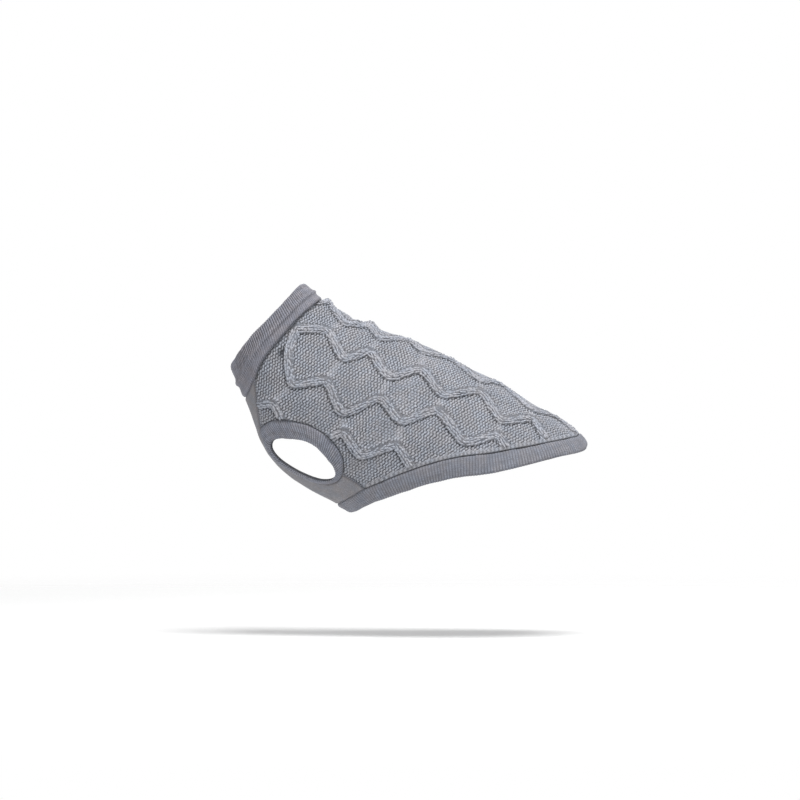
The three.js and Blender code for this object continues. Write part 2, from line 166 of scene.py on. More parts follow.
# Crossings where two strands meet.
LINKS = (
    ((40, 27), (29.5, 45)), ((78, 27), (76, 49)), ((122, 25), (129, 50)),
    ((185.5, 30), (190.5, 46.5)), ((243, 30), (249, 45.5)), ((56.5, 67.5), (53, 94)),
    ((106, 70.5), (107.5, 93)), ((161, 70), (163, 86)), ((222.5, 70.5), (226.5, 86.5)),
    ((26, 110.5), (18, 135.5)), ((83, 119), (92.5, 136)), ((138, 110), (144.5, 133)),
    ((59, 13), (59, 0)), ((104, 8), (104, 0)), ((150, 10), (150, 0)), ((204, 9), (204, 0)),
    ((269, 9), (269, 0)),
)

# Section of a doubled band: share of its width from the seam, how far it stands out.
COLLAR_SECTION = (
    (0.0, 0.6), (0.0, 2.0), (0.03, 3.6), (0.12, 4.2), (0.28, 3.9), (0.45, 6.0), (0.66, 4.3),
    (0.9, 4.5), (0.985, 3.9), (1.0, 2.4), (0.985, 0.9), (0.9, 0.2), (0.5, 0.0), (0.1, 0.0),
)
BAND_SECTION = (
    (0.0, 0.5), (0.0, 2.2), (0.035, 3.1), (0.16, 3.7), (0.5, 3.7), (0.85, 3.4), (0.97, 2.6),
    (1.0, 1.5), (0.97, 0.5), (0.88, 0.1), (0.4, 0.0), (0.05, 0.0),
)


def look_up(table, x, column=1):
    """Value of a table column at x, on a smooth curve through its rows."""
    keys, values = table[:, 0], table[:, column]
    after = np.minimum(np.arange(len(keys)) + 1, len(keys) - 1)
    before = np.maximum(np.arange(len(keys)) - 1, 0)
    slope = (values[after] - values[before]) / (keys[after] - keys[before])
    i = np.clip(np.searchsorted(keys, x, side="right") - 1, 0, len(keys) - 2)
    span = keys[i + 1] - keys[i]
    t = np.clip((x - keys[i]) / span, 0, 1)
    rise = span * (t * (1 - t) ** 2 * slope[i] - t * t * (1 - t) * slope[i + 1])
    return (1 + 2 * t) * (1 - t) ** 2 * values[i] + t * t * (3 - 2 * t) * values[i + 1] + rise


def hollow_point(s, phi):
    """Point inside the cloth at s along the spine and phi degrees round from it, on the left."""
    top, bottom = look_up(SECTIONS, s, TOP), look_up(SECTIONS, s, BOTTOM)
    half, turn = look_up(SECTIONS, s, HALF), np.radians(phi)
    depth = (top + bottom) / 2 - (bottom - top) / 2 * np.cos(turn)
    return np.stack([s - ORIGIN_S, -half * np.sin(turn), ORIGIN_D - depth], -1)


def outward(s, phi):
    """Direction out of the cloth."""
    along = hollow_point(s + 1, phi) - hollow_point(s - 1, phi)
    around = hollow_point(s, phi + 1) - hollow_point(s, phi - 1)
    normal = -np.cross(along, around)
    return normal / np.linalg.norm(normal, axis=-1, keepdims=True)


def fold_lift(s, phi):
    """Height of the folds across the withers."""
    lift = np.zeros_like(s)
    for place, height, half, reach in FOLDS:
        away = np.clip(np.abs(s - place) / half, 0, 1)
        turn = np.clip(np.abs(phi) / reach, 0, 1)
        lift += height * np.cos(away * np.pi / 2) ** 2 * np.cos(turn * np.pi / 2)
    return lift


def cloth_point(s, phi, lift):
    """Point at a height over the inside of the cloth, in the upright frame."""
    s, phi, lift = np.broadcast_arrays(np.asarray(s, float), phi, lift)
    p = hollow_point(s, phi) + outward(s, phi) * (lift + fold_lift(s, phi))[..., None]
    c, w = math.cos(SPINE_PITCH), math.sin(SPINE_PITCH)
    return np.stack([c * p[..., 0] + w * p[..., 2], p[..., 1], c * p[..., 2] - w * p[..., 0]], -1)


# Lengths round the cloth from the spine, tabled over s and phi, and the angle for each length.
TABLE_S = np.arange(-46.0, 322.0, 2.0)
TABLE_PHI = np.arange(0.0, 182.0, 1.0)
TABLE_V = np.arange(0.0, 262.0, 1.0)


def _girth_tables():
    s, phi = np.meshgrid(TABLE_S, TABLE_PHI, indexing="ij")
    steps = np.linalg.norm(np.diff(hollow_point(s, phi), axis=1), axis=-1)
    girth = np.concatenate([np.zeros((len(TABLE_S), 1)), np.cumsum(steps, axis=1)], axis=1)
    angle = np.stack([np.interp(TABLE_V, row, TABLE_PHI) for row in girth])
    return girth, angle


GIRTH, ANGLE = _girth_tables()


def between(table, keys, s, x):
    """Value of a table over TABLE_S and evenly spaced keys, between its entries."""
    a = np.clip((s - TABLE_S[0]) / (TABLE_S[1] - TABLE_S[0]), 0, len(TABLE_S) - 1.001)
    b = np.clip((x - keys[0]) / (keys[1] - keys[0]), 0, len(keys) - 1.001)
    i, j = a.astype(int), b.astype(int)
    u, w = a - i, b - j
    low = table[i, j] * (1 - w) + table[i, j + 1] * w
    return low * (1 - u) + (table[i + 1, j] * (1 - w) + table[i + 1, j + 1] * w) * u


def girth_at(s, phi):
    """Distance round the cloth from the spine to phi."""
    return between(GIRTH, TABLE_PHI, s, np.abs(phi))


def angle_at(s, v):
    """Angle at a distance v round the cloth from the spine, negative on the right."""
    return np.sign(v) * between(ANGLE, TABLE_V, s, np.abs(v))


def curve_through(points, closed=False, steps=CURVE_STEPS):
    """Closely spaced points on a smooth curve through a list of points."""
    p = np.asarray(points, float)
    n = len(p)
    if closed:
        p = np.concatenate([p[-1:], p, p[:2]])
    else:
        p = np.concatenate([2 * p[:1] - p[1:2], p, 2 * p[-1:] - p[-2:-1]])
    count = n if closed else n - 1
    out = []
    for k in range(count):
        a, b, c, d = p[k:k + 4]
        t0, t1, t2 = (np.linalg.norm(y - x) ** 0.5 for x, y in ((a, b), (b, c), (c, d)))
        m1 = t1 * ((b - a) / t0 - (c - a) / (t0 + t1) + (c - b) / t1)
        m2 = t1 * ((c - b) / t1 - (d - b) / (t1 + t2) + (d - c) / t2)
        t = np.arange(steps)[:, None] / steps
        out.append(b + m1 * t + (3 * (c - b) - 2 * m1 - m2) * t**2 + (2 * (b - c) + m1 + m2) * t**3)
    last = p[1] if closed else p[-2]
    return np.concatenate([*out, last[None]])


def flat(rows):
    """Seam rows (s, phi and sometimes lift) as points of the cloth laid out flat."""
    return [(r[0], r[1] * FLAT_PER_DEGREE, r[2] if len(r) > 2 else 0.0) for r in rows]


def reach_along(line):
    """Length of a line up to each of its points."""
    return np.concatenate([[0], np.cumsum(np.linalg.norm(np.diff(line, axis=0), axis=1))])


def at_reach(line, reach, wanted):
    """Points of a line at wanted lengths. reach: its length up to each of its points."""
    return np.stack([np.interp(wanted, reach, line[:, k]) for k in range(line.shape[1])], -1)


def read_along(line, shares):
    """Points at shares of a line's length."""
    reach = reach_along(line)
    return at_reach(line, reach, np.asarray(shares) * reach[-1])


def evenly(line, step):
    """Points of a line at about that step."""
    count = max(2, round(reach_along(line)[-1] / step))
    return read_along(line, np.linspace(0, 1, count + 1))


def shifted(line, distance, closed=False):
    """A flat line moved sideways, to its left as it runs."""
    if closed:
        wide = np.concatenate([line[-2:-1], line, line[1:2]])
        run = wide[2:] - wide[:-2]
    else:
        run = np.gradient(line, axis=0)
    normal = np.stack([-run[:, 1], run[:, 0]], -1)
    normal /= np.linalg.norm(normal, axis=1, keepdims=True)
    moved = line.copy()
    moved[:, :2] += normal * np.broadcast_to(distance, len(line))[:, None]
    return moved


def seam_s(table, phi):
    """Place along the spine of a seam that runs round the body."""
    turned = np.abs(phi)
    return look_up(table, np.where(turned > 180, 360 - turned, turned))


CHEST_LINE = curve_through(flat(CHEST_SEAM))
SIDE_LINE = curve_through(flat(SIDE_SEAM))
ARMHOLE_LINE = curve_through(flat([*ARMHOLE_OUTER, *ARMHOLE_INNER[1:-1]]), closed=True)
ARMHOLE_TURN = CURVE_STEPS * (len(ARMHOLE_OUTER) - 1)
ROUND = np.linspace(-180, 180, 721)
AT_SPINE = len(ROUND) // 2


def round_line(table, gap=0.0):
    """A seam that runs round the body as a flat line, from underneath to underneath."""
    return np.stack([seam_s(table, ROUND) - gap, ROUND * FLAT_PER_DEGREE, 0 * ROUND], -1)


HEM_LINE = round_line(HEM_SEAM)


def on_cloth(line):
    """A flat line as (s, distance round from the spine)."""
    phi = line[:, 1] / FLAT_PER_DEGREE
    return np.stack([line[:, 0], np.sign(phi) * girth_at(line[:, 0], phi)], -1)


def distance_to(s, v, lines):
    """Distance from points of the cloth to the nearest of several lines."""
    best, far = np.full(s.shape, np.inf), SEARCH_REACH
    for line in lines:
        for (a, b), (c, d) in zip(line[:-1], line[1:]):
            ds, dv = c - a, d - b
            square = ds * ds + dv * dv
            if square == 0:
                continue
            near = (s > min(a, c) - far) & (s < max(a, c) + far)
            near &= (v > min(b, d) - far) & (v < max(b, d) + far)
            x, y = s[near] - a, v[near] - b
            t = np.clip((x * ds + y * dv) / square, 0, 1)
            best[near] = np.minimum(best[near], np.hypot(x - t * ds, y - t * dv))
    return np.minimum(best, far)


def zigzag(corners):
    """A path of straight runs with tight bends at the corners."""
    p = np.array(corners, float)
    held = [p[0]]
    for a, b in zip(p[:-1], p[1:]):
        held += [a + (b - a) * share for share in (0.08, 0.92)]
    return curve_through([*held, p[-1]], steps=5)


CABLE_PATHS = [zigzag(strand) for strand in STRANDS]
CABLE_PATHS += [np.linspace(a, b, 4) for a, b in LINKS if b[1] == 0]
LINK_PATHS = [np.linspace(a, b, 2) for a, b in LINKS if b[1] > 0]


def inside_loop(s, v, loop):
    """Whether points of the cloth lie inside a closed line."""
    odd = np.zeros(np.shape(s), bool)
    for (a, b), (c, d) in zip(loop, np.roll(loop, -1, axis=0)):
        if b != d:
            odd ^= ((b > v) != (d > v)) & (s < (c - a) * (v - b) / (d - b) + a)
    return odd


def ripple(s, v, size, seed):
    """Smooth unevenness of about that size, within 1 either way."""
    rng, waves = np.random.default_rng(seed), 6
    total = np.zeros(np.shape(s))
    for _ in range(waves):
        turn, phase = rng.uniform(0, 2 * np.pi, 2)
        wave = 2 * np.pi / (size * rng.uniform(0.7, 1.5))
        total += np.cos(wave * (s * math.cos(turn) + v * math.sin(turn)) + phase)
    return total / waves ** 0.5 / 1.4


def ripples(s, v, parts):
    return sum(height * ripple(s, v, size, seed) for height, size, seed in parts)


def mound(s, v, spot):
    """Height from 0 to 1 of a soft mound. spot: its place, distance round and half sizes."""
    place, across, half_s, half_v = spot
    return np.exp(-(((s - place) / half_s) ** 2) - ((v - across) / half_v) ** 2)


def ease(low, high, x):
    """Smooth step from 0 at low to 1 at high."""
    t = np.clip((x - low) / (high - low), 0, 1)
    return t * t * (3 - 2 * t)


def course_relief(s, v, knit):
    """Height from 0 to 1 of the reverse side's wavy courses."""
    turn = 2 * np.pi * (v + ripples(s, v, ACROSS_RIPPLES)) / knit.wale_pitch
    sway = np.cos(turn) - 0.11 * np.cos(3 * turn)
    place = (s + ripples(s, v, ALONG_RIPPLES) + knit.course_sway * sway) / knit.course_pitch
    off = (place - np.floor(place) - 0.5) * 2
    yarn = np.cos(np.pi / 2 * off) ** 0.8
    return yarn * (0.8 + 0.2 * np.cos(2 * turn)) + 0.16 * (1 - yarn) * np.sin(turn) ** 2


def stocking_relief(s, v, wale, course):
    """Height from 0 to 1 of fine V stitches that run along the body."""
    c = (v / wale - np.floor(v / wale) - 0.5) * 2
    ridge = np.sqrt(np.clip(1 - (np.abs(np.abs(c) - 0.5) / 0.56) ** 2, 0, 1))
    return ridge * (0.72 + 0.28 * np.cos(2 * np.pi * (s / course - 0.45 * np.abs(c))))


def on_side(points, mirror):
    """Points of the left side, or the same on the right."""
    return points * (1, -1, 1) if mirror else points


def mesh_piece(name, points, faces, uv, shade_mask, material):
    """One shaded piece. points: in millimetres. uv: one pair for each corner of each face."""
    mesh = bpy.data.meshes.new(name)
    faces = [np.asarray(f) for f in faces if len(f)]
    corners = np.concatenate([f.ravel() for f in faces])
    sizes = np.concatenate([np.full(len(f), f.shape[1]) for f in faces])
    starts = np.concatenate([[0], np.cumsum(sizes)[:-1]])
    mesh.vertices.add(len(points))
    mesh.vertices.foreach_set("co", (np.asarray(points) * MM).astype(np.float32).ravel())
    mesh.loops.add(len(corners))
    mesh.loops.foreach_set("vertex_index", corners.astype(np.int32))
    mesh.polygons.add(len(sizes))
    mesh.polygons.foreach_set("loop_start", starts.astype(np.int32))
    mesh.polygons.foreach_set("use_smooth", np.ones(len(sizes), bool))
    mesh.update(calc_edges=True)
    layer = mesh.uv_layers.new(name="OFBake")
    layer.uv.foreach_set("vector", np.concatenate(uv).astype(np.float32).ravel())
    # Painted shade: the wool's colour darkens where this per-point mark is low, from 1 (bright) down
    # to 0 (darkest).
    mark = mesh.attributes.new("shade_mask", "FLOAT", "POINT")
    mark.data.foreach_set("value", np.clip(shade_mask, 0, 1).astype(np.float32))
    if mesh.validate():
        raise RuntimeError(f"{name}: the mesh had faults")
    mesh.materials.append(material)
    piece = bpy.data.objects.new(name, mesh)
    bpy.context.scene.collection.objects.link(piece)
    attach(piece, "root")
    return piece


def tube_faces(rings, sides, closed=False):
    """Quads of a tube, and its ring and side numbers at their corners. closed: end to end."""
    count = rings if closed else rings - 1
    i, j = (x.ravel() for x in np.meshgrid(np.arange(count), np.arange(sides), indexing="ij"))
    ni, nj = (i + 1) % rings, (j + 1) % sides
    faces = np.stack([i * sides + j, ni * sides + j, ni * sides + nj, i * sides + nj], -1)
    return faces, np.stack([i, i + 1, i + 1, i], -1), np.stack([j, j, j + 1, j + 1], -1)


def zip_rows(a, ta, b, tb):
    """Triangles between two rows of points that may differ in count. t: place along the row."""
    mid_a, mid_b = ta[:-1] + ta[1:], tb[:-1] + tb[1:]
    j = np.searchsorted(mid_b, mid_a, side="left")
    i = np.searchsorted(mid_a, mid_b, side="right")
    return np.concatenate([
        np.stack([a[:-1], a[1:], b[j]], -1),
        np.stack([a[i], b[1:], b[:-1]], -1),
    ])


class PanelGrid:
    """Rows of a panel, fanned between a centre line and its side edge."""

    BLEND_FIRST, BLEND_LAST = 90.0, 30.0

    def __init__(self, stretches, gap_side, middle, step):
        edge, centre = [], []
        for line, start, end in stretches:
            points = evenly(line, step)
            skip = 1 if edge else 0
            edge += list(points[skip:])
            centre += list(start + (end - start) * np.arange(skip, len(points)) / (len(points) - 1))
        self.edge = shifted(np.array(edge), gap_side * SEAM_GAP / 2)
        self.centre, self.middle = np.array(centre), middle
        self.centre[0], self.centre[-1] = self.first(middle), self.last(middle)
        self.edge[0, 0] = self.first(self.edge[0, 1] / FLAT_PER_DEGREE)
        self.edge[-1, 0] = self.last(self.edge[-1, 1] / FLAT_PER_DEGREE)
        self.count = len(self.centre)
        self.reach = self.edge[:, 1] / FLAT_PER_DEGREE - middle

    @staticmethod
    def first(phi):
        return seam_s(COLLAR_SEAM, phi) + SEAM_GAP / 2

    @staticmethod
    def last(phi):
        return seam_s(HEM_SEAM, phi) - SEAM_GAP / 2

    def place(self, k, x):
        """(s, phi) at x across row k, from the centre line at 0 to the edge at 1."""
        centre, edge = self.centre, self.edge[:, 0]

        def bend(seam, row):
            over = seam(self.middle + np.abs(x) * self.reach[row])
            return over - centre[row] - (edge[row] - centre[row]) * x * x

        near_first = max(0.0, 1 - (centre[k] - centre[0]) / self.BLEND_FIRST) ** 2
        near_last = max(0.0, 1 - (centre[-1] - centre[k]) / self.BLEND_LAST) ** 2
        s = centre[k] + (edge[k] - centre[k]) * x * x
        s = s + near_first * bend(self.first, 0) + near_last * bend(self.last, -1)
        return s, self.middle + x * self.reach[k]

    def rows(self, low, step, every=1):
        """Row numbers, and each row's x, s and phi, at about that column step."""
        picked = sorted({*range(0, self.count, every), self.count - 1})
        found = []
        for k in picked:
            width = abs(self.reach[k]) * FLAT_PER_DEGREE * (1 - low)
            x = np.linspace(low, 1, max(4, round(width / step)) + 1)
            s, phi = self.place(k, x)
            found.append((k, x, s, phi))
        return found


def panel_piece(name, grid, low, step, every, lift, inner_lift, material, mirror=False):
    """A panel as a closed shell. lift(s, phi) gives heights over the hollow and the marks of painted
    shade.

    step: column spacing outside. every: rows outside to one row inside.
    """
    outer = grid.rows(low, step)
    inner = grid.rows(low, INNER_COLUMNS, every)
    s, phi = (np.concatenate([row[n] for row in outer]) for n in (2, 3))
    height, shade_mask = lift(s, phi)
    s_in, phi_in = (np.concatenate([row[n] for row in inner]) for n in (2, 3))
    inside = cloth_point(s_in, phi_in, inner_lift(s_in, phi_in))
    points = np.concatenate([cloth_point(s, phi, height), inside])
    # The inside of the cloth gets an even painted shade.
    shade_mask = np.concatenate([shade_mask, np.full(len(s_in), 0.45)])

    def numbered(rows, start):
        out = []
        for k, x, *_ in rows:
            out.append((k, x, np.arange(start, start + len(x))))
            start += len(x)
        return out

    top, under = numbered(outer, 0), numbered(inner, len(s))
    spot = {}
    for rows, tile in ((top, 0.0), (under, 0.5)):
        for k, x, ids in rows:
            u = tile + TILE_WIDTH * (x - low) / (1 - low)
            w = np.full(len(x), TILE_HEIGHT * k / grid.count)
            spot.update(zip(ids.tolist(), np.stack([u, w], -1)))
    where = np.array([spot[n] for n in range(len(points))])
    sheets = [zip_rows(a[2], a[1], b[2], b[1]) for a, b in zip(top[:-1], top[1:])]
    sheets += [zip_rows(b[2], b[1], a[2], a[1]) for a, b in zip(under[:-1], under[1:])]
    faces = np.concatenate(sheets)
    uv = [where[faces].reshape(-1, 2)]
    rims = [
        zip_rows(under[0][2], under[0][1], top[0][2], top[0][1]),
        zip_rows(top[-1][2], top[-1][1], under[-1][2], under[-1][1]),
    ]
    for end in (0, -1):
        a = np.array([row[2][end] for row in top]), np.array([row[0] for row in top], float)
        b = np.array([row[2][end] for row in under]), np.array([row[0] for row in under], float)
        rims.append(zip_rows(*a, *b) if end == 0 else zip_rows(*b, *a))
    for n, rim in enumerate(rims):
        along = np.arange(len(rim)) / len(rim)
        cell = np.stack([along, along, along + 1 / len(rim)], -1)
        strip = RIM_START + RIM_PITCH * n
        rise = np.where(rim < len(s), strip + RIM_WIDTH, strip)
        uv.append(np.stack([cell, rise], -1).reshape(-1, 2))
    faces = np.concatenate([faces, *rims])
    return finish_shell(name, on_side(points, mirror), faces, uv, shade_mask, material)


def finish_shell(name, points, faces, uv, shade_mask, material):
    """Makes the piece with its faces turned outwards."""
    a, b, c = (points[faces[:, n]] for n in range(3))
    volume = np.einsum("ij,ij->i", a, np.cross(b, c)).sum()
    corners = np.concatenate(uv).reshape(len(faces), faces.shape[1], 2)
    if volume < 0:
        faces, corners = faces[:, ::-1], corners[:, ::-1]
    return mesh_piece(name, points, [faces], [corners.reshape(-1, 2)], shade_mask, material)


COLLAR_CLOTH = on_cloth(round_line(COLLAR_SEAM)[AT_SPINE::4])
HEM_CLOTH = on_cloth(HEM_LINE[AT_SPINE::3])
ARMHOLE_CLOTH = on_cloth(ARMHOLE_LINE[::4])
CHEST_CLOTH = on_cloth(CHEST_LINE[::6])
SIDE_CLOTH = on_cloth(SIDE_LINE[::8])


def cable_rise(near, knit):
    """Height of the body of a cable at a distance from its middle."""
    share = np.clip(near / (knit.cable_half + 1.2), 0, 1)
    return knit.cable_height * np.cos(share * np.pi / 2) ** 1.2


def swelling(s, v, near=0.0):
    """Soft rise of the cloth along the spine at the withers, and where cables leave the collar."""
    height = CREST_HEIGHT - CREST_HEIGHT * ease(70, 100, s)
    crest = height * np.exp(-((v / CREST_HALF) ** 2)) * (1 - ease(2.0, 12.0, near))
    return crest + 1.8 * mound(s, v, COLLAR_PUFF)


def back_lift(s, phi, knit):
    """Outer height of the back panel: wavy courses, raised cables and the roll over the hem, with
    marks of painted shade between the courses, under each cable's lower edge, in the hollow by the
    collar, along the seams and at the hem.
    """
    v = girth_at(s, phi)
    near = distance_to(s, v, CABLE_PATHS)
    joined = 1 - ease(1.5, 4.5, distance_to(s, v, LINK_PATHS))
    shaded_pit = mound(s, v, COLLAR_PIT)
    ground = course_relief(s, v, knit) * (1 - 0.3 * joined) + 0.25 * joined
    open_ground = ease(knit.cable_half - 1.2, knit.cable_half + 0.2, near)
    under = ease(-1.2, 1.6, near - distance_to(s, v - 2.0, CABLE_PATHS))
    # The dip beside each cable, deeper on its lower side, where it also paints the shadow cast by the
    # cable.
    groove_and_shadow = (0.1 + 0.45 * under) * np.exp(-(((near - knit.cable_half - 0.4) / 0.8) ** 2))
    lift = WALL - 1.3 + (knit.course_height * ground - groove_and_shadow) * open_ground + 0.5 * joined
    lift += cable_rise(near - 2.6 * (1 - under) * ease(1.0, 6.0, near), knit)
    lift += swelling(s, v, near) + 0.45 * ripple(s, v, 24, 21) - 0.9 * shaded_pit
    # Painted shade: darker between the courses, a painted shadow under each cable's lower edge, and
    # darker in the hollow by the collar.
    painted_shade = 1.05 * ground**1.3 * open_ground + (1 - open_ground) * 0.4
    painted_shade = (painted_shade - 0.6 * groove_and_shadow * open_ground) * (1 - 0.7 * shaded_pit)
    seams = distance_to(s, v, [ARMHOLE_CLOTH, CHEST_CLOTH, SIDE_CLOTH])
    seams = np.minimum(seams, 0.62 * distance_to(s, v, [COLLAR_CLOTH]))
    sunk = 1 - ease(0.0, 3.2, seams)
    lift = lift * (1 - sunk) + 1.2 * sunk
    hem = distance_to(s, v, [HEM_CLOTH])
    plain = 1 - ease(4.4, 6.2, hem)
    dashes = 0.5 + 0.5 * np.cos(2 * np.pi * s / 3.1 + 1.5 * np.cos(hem * 1.6))
    roll = 1.9 + 1.1 * np.sqrt(np.clip(1 - ((hem - 3.0) / 3.0) ** 2, 0, 1)) + 0.35 * dashes
    lift = lift * (1 - plain) + roll * plain
    # Painted shade at the hem: darker close to its seam.
    painted_shade = painted_shade * (1 - plain) + plain * (0.1 + (0.25 + 0.35 * dashes) * ease(0.3, 2.0, hem))
    # Painted shade along the sunk seams.
    return lift, painted_shade * (0.25 + 0.75 * ease(0.2, 3.0, seams))


def back_grid(step):
    angle = HEM_LINE[:, 1] / FLAT_PER_DEGREE
    side = HEM_LINE[(angle > HEM_TIP_ANGLE - 1e-6) & (angle < SIDE_SEAM[-1][1] + 1e-6)]
    return PanelGrid((
        (CHEST_LINE, COLLAR_SEAM[0, 1], 22), (ARMHOLE_LINE[:ARMHOLE_TURN + 1], 22, 112),
        (SIDE_LINE, 112, 141), (side[::-1], 141, HEM_TIP_S),
    ), -1, 0.0, step)


def belly_grid(step):
    return PanelGrid((
        (CHEST_LINE, COLLAR_SEAM[-1, 1], 20), (ARMHOLE_LINE[ARMHOLE_TURN:][::-1], 20, 117),
        (SIDE_LINE, 117, HEM_SEAM[-1, 1]),
    ), 1, 180.0, step)


def cable_stitches(knit):
    """Plump slanting legs of the stitches that run along the cables, as places on the cloth."""
    rng = np.random.default_rng(5)
    along = np.linspace(0, 1, len(LEG_SWELL))
    spread, slack = 0.35 + 1.25 * (1 - along) ** 0.9, 0.4
    out = []
    for path in CABLE_PATHS:
        reach = reach_along(path)
        count = max(2, round(reach[-1] / knit.stitch_pitch))
        for n, column, leg in itertools.product(range(count), (-1, 1), (-1, 1)):
            jitter = rng.normal(0, LEG_JITTER, 3)
            middle = (n + 0.5) / count * reach[-1]
            run = middle + (along - 0.5) * knit.stitch_pitch * LEG_LENGTH + jitter[0]
            offset = column * knit.cable_half * 0.46 + leg * spread + jitter[1]
            radius = LEG_RADIUS * (1 + 0.3 * jitter[2]) * LEG_SWELL
            round_x, round_z = radius[:, None] * np.cos(RING), radius[:, None] * np.sin(RING)
            across = offset[:, None] + round_x * math.cos(leg * LEG_LEAN)
            forth = run[:, None] + round_x * math.sin(leg * LEG_LEAN)
            t = np.clip(forth, -2.0, reach[-1] + 2.0)
            inside = np.clip(t, 0.01, reach[-1] - 0.01)
            way = at_reach(path, reach, inside + slack) - at_reach(path, reach, inside - slack)
            way /= np.maximum(np.linalg.norm(way, axis=-1, keepdims=True), 1e-9)
            spot = at_reach(path, reach, inside) + way * (t - inside)[..., None]
            spot = spot + np.stack([-way[..., 1], way[..., 0]], -1) * across[..., None]
            base = WALL - 1.35 - (LOWER_DEPTH if column < 0 else 0.0)
            base = base + cable_rise(np.abs(offset), knit)
            rise = base[:, None] + round_z + 0.25 * np.sin(np.pi * along)[:, None]
            out.append((spot[..., 0], spot[..., 1], rise))
    return tuple(np.stack([o[n] for o in out]) for n in range(3))


def stitches_piece(name, grid, knit, material, mirror):
    """The cable stitches of one half of the back, away from its seams."""
    s, v, lift = cable_stitches(knit)
    outline = on_cloth(grid.edge[::4])
    outline = np.concatenate([outline, [(outline[-1, 0] + 3, -9), (outline[0, 0] + 17, -9)]])
    middle = s[:, 2, 0], v[:, 2, 0]
    kept = inside_loop(*middle, outline) & (distance_to(*middle, [HEM_CLOTH]) > 4.8)
    kept &= distance_to(*middle, [COLLAR_CLOTH, ARMHOLE_CLOTH, CHEST_CLOTH, SIDE_CLOTH]) > 2.5
    s, v, lift = s[kept], v[kept], lift[kept]
    points = cloth_point(s, angle_at(s, v), lift + swelling(s, v)).reshape(-1, 3)
    legs, rings, sides = s.shape
    one, ring, turn = tube_faces(rings, sides)
    cell = np.stack([ring / rings, turn / sides], -1)
    faces = (one[None] + np.arange(legs)[:, None, None] * rings * sides).reshape(-1, 4)
    side = math.ceil(legs**0.5)
    corner = np.stack([np.arange(legs) % side, np.arange(legs) // side], -1)
    uv = (cell[None] * 0.94 + 0.03 + corner[:, None, None]) / side
    ends = np.arange(legs)[:, None] * rings * sides
    caps = [ends + np.arange(sides)[::-1], ends + (rings - 1) * sides + np.arange(sides)]
    if mirror:
        faces, uv, caps = faces[:, ::-1], uv[:, :, ::-1], [c[:, ::-1] for c in caps]
    tip = np.stack([0.97 + 0.02 * np.cos(RING), 0.5 + 0.4 * np.sin(RING)], -1)
    cap_uv = ((tip[None] + corner[:, None]) / side).reshape(-1, 2)
    # Painted light: each leg lighter on its upper side and towards its middle, darker underneath and
    # at its ends.
    shade_mask = np.outer(LEG_LIGHT, 0.45 + 0.55 * (0.5 + 0.5 * np.sin(RING)))
    return mesh_piece(
        name, on_side(points, mirror), [faces, *caps], [uv.reshape(-1, 2), cap_uv, cap_uv],
        np.tile(shade_mask.ravel(), legs), material,
    )


def band_piece(
    name, seam, edge, section, ribs, stitch, height, soften, material, mirror=False, twist=0,
):
    """A doubled ribbed band between two closed flat lines. soften: rib strength at the seam.

    twist: how many ribs the seam is turned ahead of the free edge.
    """
    columns = ribs * COLUMNS_PER_RIB
    share = np.arange(columns) / columns
    middle = (seam + edge) / 2
    reach = reach_along(cloth_point(middle[:, 0], middle[:, 1] / FLAT_PER_DEGREE, 2.0))
    number = np.interp(share * reach[-1], reach, np.arange(len(reach)))
    start, end = (at_reach(line, np.arange(len(line)), number) for line in (seam, edge))
    if twist:
        ahead = twist * COLUMNS_PER_RIB
        start = np.roll(start, -ahead, axis=0)
        start[-ahead:, 1] += 360 * FLAT_PER_DEGREE
    width = float(np.median(np.linalg.norm((end - start)[:, :2], axis=1)))
    scaled = evenly(curve_through(section, closed=True, steps=12) * (width, 1.0), BAND_STEP)[:-1]
    turn = np.roll(scaled, -1, axis=0) - np.roll(scaled, 1, axis=0)
    normal = np.stack([-turn[:, 1], turn[:, 0]], -1)
    normal /= np.linalg.norm(normal, axis=1, keepdims=True)
    across, lift = scaled[:, 0] / width, scaled[:, 1]
    face = ease(0.4, 2.4, lift)
    strength = face * (soften + (1 - soften) * ease(0.1, 0.75, across)) + 0.25 * (1 - face)
    c = (share * ribs - np.floor(share * ribs) - 0.5) * 2
    around, run = np.broadcast_arrays((share * ribs * 2.6)[:, None], (across * width)[None])
    worn = 0.5 + 0.5 * ripple(around, run, 9, 33)
    wave = np.cos(2 * np.pi * (run / stitch - 0.5 * np.abs(c)[:, None] + 0.4 * worn))
    crest = np.cos(np.pi / 2 * c)[:, None] ** 0.8
    rib = crest * (0.72 + 0.28 * wave) * (0.65 + 0.45 * worn)
    uneven = 0.3 * ripple(around, run, 22, 31)
    raised = strength[None] * height * (rib - 0.35) + uneven * face[None]
    shift = across[None] + normal[None, :, 0] * raised / width
    place = start[:, None] * (1 - shift[..., None]) + end[:, None] * shift[..., None]
    tall = place[..., 2] + lift[None] + normal[None, :, 1] * raised
    points = cloth_point(place[..., 0], place[..., 1] / FLAT_PER_DEGREE, tall).reshape(-1, 3)
    faces, u, w = tube_faces(columns, len(across), closed=True)
    uv = np.stack([u / columns, w / len(across)], -1)
    # Painted shade: darker between the ribs, and darker where the band's section lies low against the
    # cloth.
    shade_mask = (1 - strength[None]) * 0.55 + strength[None] * (0.12 + 0.88 * rib)
    shade_mask = shade_mask * (0.3 + 0.7 * ease(0.8, 2.6, lift))[None]
    return finish_shell(name, on_side(points, mirror), faces, [uv], shade_mask.ravel(), material)


